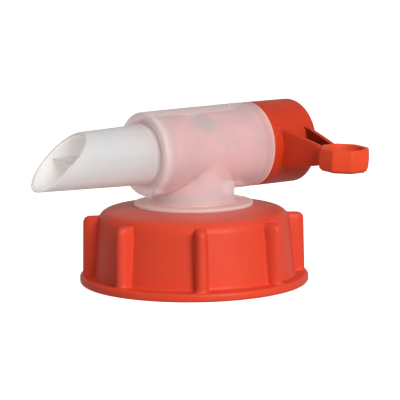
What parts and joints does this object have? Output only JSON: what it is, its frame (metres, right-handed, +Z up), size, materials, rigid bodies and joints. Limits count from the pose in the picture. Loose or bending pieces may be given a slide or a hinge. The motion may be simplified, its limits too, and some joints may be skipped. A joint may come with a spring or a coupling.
{
  "type": "jerrycan tap",
  "caption": "Screw cap with a swivelling tap body, a slant-cut spout and a ring-ended turning key that opens and shuts the flow.",
  "frame": {"origin": "on the cap's axis, in the plane of its open rim, where the container's neck enters", "axes": "+Z up through the cap and the tap's stem; -X out of the spout; -Y out to the key's ring when the tap is shut"},
  "size_m": [0.101, 0.0817, 0.0565],
  "materials": {
    "cap_plastic": "orange-red moulded polyethylene, satin",
    "key_plastic": "orange-red moulded polyethylene, satin",
    "body_plastic": "natural translucent polyethylene, milky",
    "spout_plastic": "natural translucent polyethylene, milky",
    "seal_rubber": "red silicone rubber",
    "gasket_foam": "grey polyethylene foam",
    "clip_plastic": "ivory acetal"
  },
  "bodies": {
    "cap": {"screw_cap": "cap_plastic", "neck_gasket": "gasket_foam"},
    "tap": {"tap_body": "body_plastic", "stem_seal": "seal_rubber", "retaining_clip": "clip_plastic", "spout": "spout_plastic"},
    "key": {"key_plug": "key_plastic", "front_seal": "seal_rubber", "rear_seal": "seal_rubber"}
  },
  "joints": [
    {"name": "body_swivel", "type": "hinge", "parent": "cap", "child": "tap", "pos_m": [0, 0, 0.0427], "axis": [0, 0, 1], "continuous": true},
    {"name": "key_turn", "type": "hinge", "parent": "tap", "child": "key", "pos_m": [0, 0, 0.0427], "axis": [-1, 0, 0], "range_deg": [0, 180]}
  ]
}
